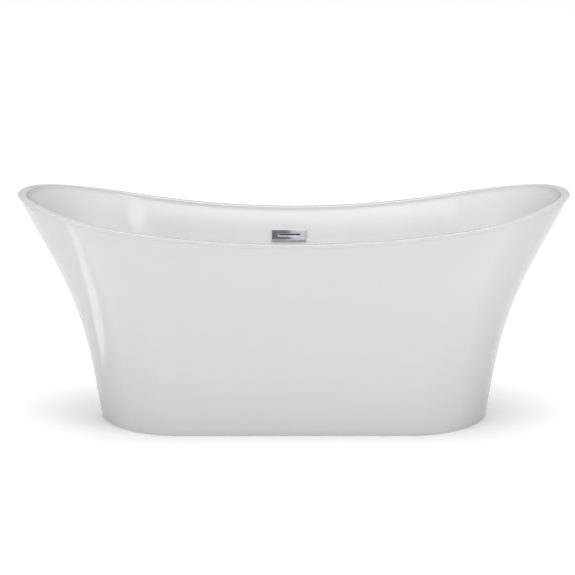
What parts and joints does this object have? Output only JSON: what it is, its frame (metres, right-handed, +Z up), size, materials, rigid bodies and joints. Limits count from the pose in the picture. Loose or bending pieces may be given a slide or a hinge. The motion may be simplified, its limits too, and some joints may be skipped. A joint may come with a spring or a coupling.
{
  "type": "freestanding bathtub",
  "caption": "Freestanding double-ended bathtub with a saddle rim, flared skirt, slotted side overflow, click-clack waste and a steel frame on screw feet.",
  "frame": {"origin": "on the floor, under the middle of the rim", "axes": "+X along the tub, +Y towards the overflow side, +Z up"},
  "size_m": [1.7, 0.8, 0.712],
  "materials": {
    "acrylic": "gloss",
    "board": "matte",
    "frame_paint": "satin",
    "zinc_steel": "satin",
    "chrome": "polished",
    "black_plastic": "matte",
    "white_plastic": "satin",
    "hose": "satin",
    "rubber": "matte"
  },
  "bodies": {
    "tub": {"outer_skirt": "acrylic", "inner_basin": "acrylic", "base_board": "board", "frame_rail_front": "frame_paint", "frame_rail_back": "frame_paint", "cross_rail_left": "frame_paint", "cross_rail_mid_left": "frame_paint", "cross_rail_mid_right": "frame_paint", "cross_rail_right": "frame_paint", "rail_end_caps": "black_plastic", "foot_brackets": "frame_paint", "weld_nuts": "zinc_steel", "lock_nuts": "zinc_steel", "skirt_clips": "zinc_steel", "clip_screws": "zinc_steel", "board_screws": "zinc_steel", "drain_flange": "chrome", "drain_seal": "rubber", "waste_body": "white_plastic", "outlet_pipe": "white_plastic", "outlet_nut": "white_plastic", "outlet_washer": "rubber", "stopper_cartridge": "white_plastic", "stopper_spring": "zinc_steel", "overflow_plate": "chrome", "overflow_front_seal": "rubber", "overflow_back_seal": "rubber", "overflow_body": "white_plastic", "overflow_screws": "zinc_steel", "overflow_hose": "hose", "hose_nut": "white_plastic", "hose_clamp": "zinc_steel"},
    "stopper": {"stopper_cap": "chrome", "stopper_seal": "rubber", "stopper_stem": "zinc_steel"},
    "pad_front_left": {"foot_pad_front_left": "black_plastic", "foot_sole_front_left": "rubber"},
    "stud_front_left": {"foot_stud_front_left": "zinc_steel"},
    "pad_front_right": {"foot_pad_front_right": "black_plastic", "foot_sole_front_right": "rubber"},
    "stud_front_right": {"foot_stud_front_right": "zinc_steel"},
    "pad_back_left": {"foot_pad_back_left": "black_plastic", "foot_sole_back_left": "rubber"},
    "stud_back_left": {"foot_stud_back_left": "zinc_steel"},
    "pad_back_right": {"foot_pad_back_right": "black_plastic", "foot_sole_back_right": "rubber"},
    "stud_back_right": {"foot_stud_back_right": "zinc_steel"}
  },
  "joints": [
    {"name": "stopper_lift", "type": "slide", "parent": "tub", "child": "stopper", "axis": [0, 0, 1], "range_m": [0, 0.008], "deforming": ["stopper_spring"]},
    {"name": "foot_front_left_lift", "type": "slide", "parent": "tub", "child": "pad_front_left", "axis": [0, 0, -1], "range_m": [-0.003, 0.02]},
    {"name": "foot_front_left_turn", "type": "hinge", "parent": "pad_front_left", "child": "stud_front_left", "pos_m": [-0.385, -0.185, 0.06], "axis": [0, 0, -1], "range_deg": [-617, 4114]},
    {"name": "foot_front_right_lift", "type": "slide", "parent": "tub", "child": "pad_front_right", "axis": [0, 0, -1], "range_m": [-0.003, 0.02]},
    {"name": "foot_front_right_turn", "type": "hinge", "parent": "pad_front_right", "child": "stud_front_right", "pos_m": [0.385, -0.185, 0.06], "axis": [0, 0, -1], "range_deg": [-617, 4114]},
    {"name": "foot_back_left_lift", "type": "slide", "parent": "tub", "child": "pad_back_left", "axis": [0, 0, -1], "range_m": [-0.003, 0.02]},
    {"name": "foot_back_left_turn", "type": "hinge", "parent": "pad_back_left", "child": "stud_back_left", "pos_m": [-0.385, 0.185, 0.06], "axis": [0, 0, -1], "range_deg": [-617, 4114]},
    {"name": "foot_back_right_lift", "type": "slide", "parent": "tub", "child": "pad_back_right", "axis": [0, 0, -1], "range_m": [-0.003, 0.02]},
    {"name": "foot_back_right_turn", "type": "hinge", "parent": "pad_back_right", "child": "stud_back_right", "pos_m": [0.385, 0.185, 0.06], "axis": [0, 0, -1], "range_deg": [-617, 4114]}
  ],
  "couplings": [
    {"joint": "foot_front_left_turn", "follows": "foot_front_left_lift", "rad_per_m": 3590.4},
    {"joint": "foot_front_right_turn", "follows": "foot_front_right_lift", "rad_per_m": 3590.4},
    {"joint": "foot_back_left_turn", "follows": "foot_back_left_lift", "rad_per_m": 3590.4},
    {"joint": "foot_back_right_turn", "follows": "foot_back_right_lift", "rad_per_m": 3590.4}
  ]
}
